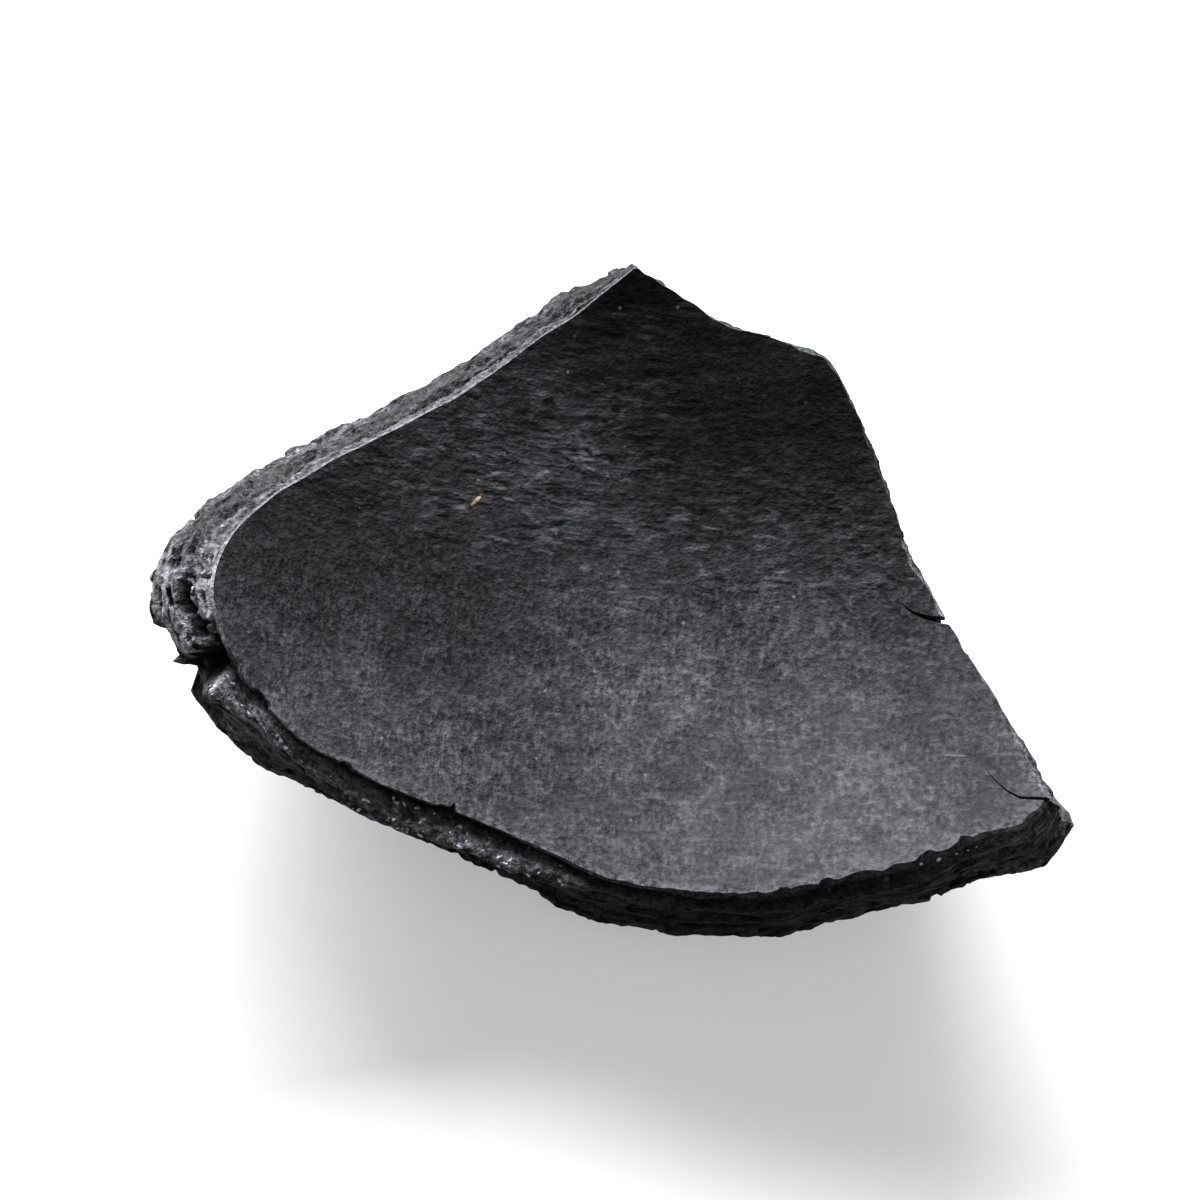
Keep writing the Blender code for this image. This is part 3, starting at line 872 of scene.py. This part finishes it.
def breakMaterial(laid):
    material, tree, shader = newMaterial("brokenEdge")
    at = places(tree)
    depth, arc, paleAndLit, top = (attribute(tree, name) for name in ("depth", "alongRim", "paleAndLit", "onLedge"))
    inLayers = node(tree, "ShaderNodeCombineXYZ", {"X": arc, "Y": depth}).outputs[0]
    through = both(tree, depth, breakTexture["leaves"])
    downward = node(tree, "ShaderNodeCombineXYZ", {"Z": through}).outputs[0]
    leaf = grain(tree, moved(tree, at, downward), 1.0, 2.0, 0.6)
    grit = grain(tree, at, breakTexture["grit"], 2.0, 0.7)
    shade = mixed(tree, (grit, 1.3), (leaf, 0.9))
    # sooty with painted shade, or pale with dust and painted light, as the rim's table says
    sootAndShade, light = (toned(tree, shade, breakLook["stops"], breakLook[name])
                    for name in ("sootAndShade", "paleAndLit"))
    colour = blend(tree, paleAndLit, sootAndShade, light)
    # painted shade: dark pits deep in the break
    pitShade = fade(tree, grain(tree, stretched(tree, inLayers, breakTexture["pits"]), 1.0, 1.0), 0.58, 0.65)
    inside = fade(tree, depth, 0.9, 1.4, 0.35, 1.0)
    colour = blend(tree, both(tree, pitShade, inside), colour, grey(breakLook["pitShade"]))

    # the firm skin of the hollow side, painted lighter, partly as a highlight where its broken edge
    # catches the light, and the paler wall under it
    thick = lining["thickness"]
    skin = both(tree, fade(tree, depth, thick * 1.2, thick * 0.7),
                fade(tree, grit, 0.40, 0.56, 0.15, 1.0))
    skin = both(tree, skin, fade(tree, paleAndLit, 0.0, 1.0, 0.08, 1.0))
    colour = blend(tree, skin, colour, grey(breakLook["lining"]))
    under = fade(tree, depth, lining["paleTo"] + lining["fades"], lining["paleTo"] - lining["fades"],
                 1.0, breakLook["underTheLining"])
    colour = times(tree, colour, under)

    # crumbs, the grains on top of the ledge, painted pale as if lit, glints and chips
    crumb = both(tree, speckles(tree, at, *breakTexture["crumbs"]), fade(tree, depth, 1.3, 0.7))
    colour = blend(tree, crumb, colour, grey(breakLook["crumb"]))
    wander = node(tree, "ShaderNodeTexNoise",
                  {"Vector": at, "Scale": breakTexture["wander"], "Detail": 1.0}).outputs["Color"]
    litLedgeGrain = both(tree, speckles(tree, moved(tree, at, wander), *breakTexture["litLedgeGrains"]),
                      fade(tree, top, 0.2, 0.5))
    colour = blend(tree, litLedgeGrain, colour, grey(breakLook["litLedgeGrain"]))
    glint = both(tree, speckles(tree, at, *breakTexture["glints"]),
                 both(tree, fade(tree, grit, 0.45, 0.60), paleAndLit))
    colour = blend(tree, glint, colour, grey(breakLook["glint"]))
    for chip in paleChips.values():
        colour = blend(tree, streakAt(tree, at, laid, *chip), colour, grey(breakLook["chip"]))
    finished(tree, shader, colour, shade, breakLook)
    return material


backLook = {
    "tones": (0.008, 0.016, 0.032),
    "stops": (0.24, 0.50, 0.78),
    "groove": 0.003,
    # painted highlight along the top of the crest
    "crest": 0.050,
    "dust": 0.12,
    "roughness": 0.60,
    "specular": 0.10,
    "relief": 0.12,
    "hues": [(0.40, (1.02, 0.99, 1.01)), (0.60, (1.0, 1.01, 0.97))],
}
backTexture = {
    "fibres": (0.30, 3.2, 3.2),
    "grooves": (0.13, 2.4, 2.4),
    "grooveDepth": 0.6,             # beside the rest of the relief
    "grit": 3.2,
    "mottle": 0.8,
    "dust": (2.2, 0.13, 0.25),
}


def backMaterial():
    material, tree, shader = newMaterial("roundedBack")
    at = places(tree)
    turned = stretched(tree, at, (1.0, 1.0, 1.0), -math.degrees(backRidges["way"]))
    fibres = grain(tree, stretched(tree, turned, backTexture["fibres"]), 1.0, 2.5, 0.6)
    grit = grain(tree, at, backTexture["grit"], 2.0, 0.6)
    mottle = grain(tree, at, backTexture["mottle"], 2.0, 0.55)
    surface = mixed(tree, (fibres, 0.7), (grit, 0.7), (mottle, 0.4))
    colour = toned(tree, surface, backLook["stops"], backLook["tones"])
    hue = ramp(tree, grain(tree, at, 0.25, 1.0), backLook["hues"])
    colour = blend(tree, 1.0, colour, hue, "RGBA", "MULTIPLY")
    groove = grain(tree, stretched(tree, turned, backTexture["grooves"]), 1.0, 1.0, 0.4)
    groove = fade(tree, groove, 0.68, 0.74)
    colour = blend(tree, groove, colour, grey(backLook["groove"]))
    # the crest painted lighter along its top, a painted highlight
    crestShown = both(tree, attribute(tree, "crest"), fade(tree, grit, 0.35, 0.55, 0.4, 1.0))
    colour = blend(tree, crestShown, colour, grey(backLook["crest"]))
    dust = speckles(tree, at, *backTexture["dust"])
    colour = blend(tree, dust, colour, grey(backLook["dust"]))
    sunk = maths(tree, "MULTIPLY_ADD", groove, -backTexture["grooveDepth"], surface)
    finished(tree, shader, colour, sunk, backLook)
    return material


# Floor, light and camera.

floorLook = {
    "size": 1.6,            # metres
    "colour": 0.50,
    "glow": 0.35,           # keeps its shadow pale
    "roughness": 0.8,
}


def makeFloor():
    half = floorLook["size"] / 2
    mesh = bpy.data.meshes.new("floor")
    corners = [(-half, -half, 0), (half, -half, 0), (half, half, 0), (-half, half, 0)]
    mesh.from_pydata(corners, [], [(0, 1, 2, 3)])
    floor = bpy.data.objects.new("floor", mesh)
    bpy.context.scene.collection.objects.link(floor)
    material, tree, shader = newMaterial("paleFloor")
    shader.inputs["Base Color"].default_value = (*grey(floorLook["colour"], 0.0), 1.0)
    shader.inputs["Roughness"].default_value = floorLook["roughness"]
    shader.inputs["Emission Color"].default_value = (1.0, 1.0, 1.0, 1.0)
    shader.inputs["Emission Strength"].default_value = floorLook["glow"]
    mesh.materials.append(material)


lights = {
    # name: direction from the piece, distance, width and height in millimetres, power in watts
    "key": ((-0.23, 0.92, 0.33), 520, 500, 180, 21.5),
}
worldLight = 0.40       # from all round


def addLight(name, direction, distance, width, height, power):
    data = bpy.data.lights.new(name, "AREA")
    data.shape = "RECTANGLE"
    data.size = width * mm
    data.size_y = height * mm
    data.energy = power
    lamp = bpy.data.objects.new(name, data)
    way = Vector(direction).normalized()
    lamp.location = way * distance * mm
    lamp.rotation_mode = "QUATERNION"
    lamp.rotation_quaternion = way.to_track_quat("Z", "Y")
    bpy.context.scene.collection.objects.link(lamp)


def makeLight():
    for name, row in lights.items():
        addLight(name, *row)
    world = bpy.data.worlds.new("studio")
    bpy.context.scene.world = world
    world.use_nodes = True
    background = world.node_tree.nodes["Background"]
    background.inputs["Color"].default_value = (1.0, 1.0, 1.0, 1.0)
    background.inputs["Strength"].default_value = worldLight
    bpy.context.scene.view_settings.view_transform = "Standard"


# The camera is placed in the shell's own coordinates, as the photo sees the piece.
camera = {
    "place": (-131.7, -97.3, 350.0),     # millimetres
    "back": (-0.3047, -0.2293, 0.9244),
    "up": (-0.0718, 0.9733, 0.2178),
    "lens": 220,
    "sensor": 36,
}


def makeCamera(laid):
    data = bpy.data.cameras.new("camera")
    data.lens = camera["lens"]
    data.sensor_width = camera["sensor"]
    made = bpy.data.objects.new("camera", data)
    back = Vector(camera["back"]).normalized()
    right = Vector(camera["up"]).cross(back).normalized()
    turn = laid.to_3x3() @ Matrix((right, back.cross(right), back)).transposed()
    made.matrix_world = Matrix.Translation(laid @ Vector(camera["place"]) * mm) @ turn.to_4x4()
    bpy.context.scene.collection.objects.link(made)
    bpy.context.scene.camera = made


shard, laid = makeShard()
cutCracks(shard, laid)
for material in (hollowMaterial(laid), breakMaterial(laid), backMaterial()):
    shard.data.materials.append(material)
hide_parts("shell_shard")
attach(shard, "root")
print("materials on")

makeFloor()
makeLight()
makeCamera(laid)
print("floor, light and camera set")

bpy.context.view_layer.update()
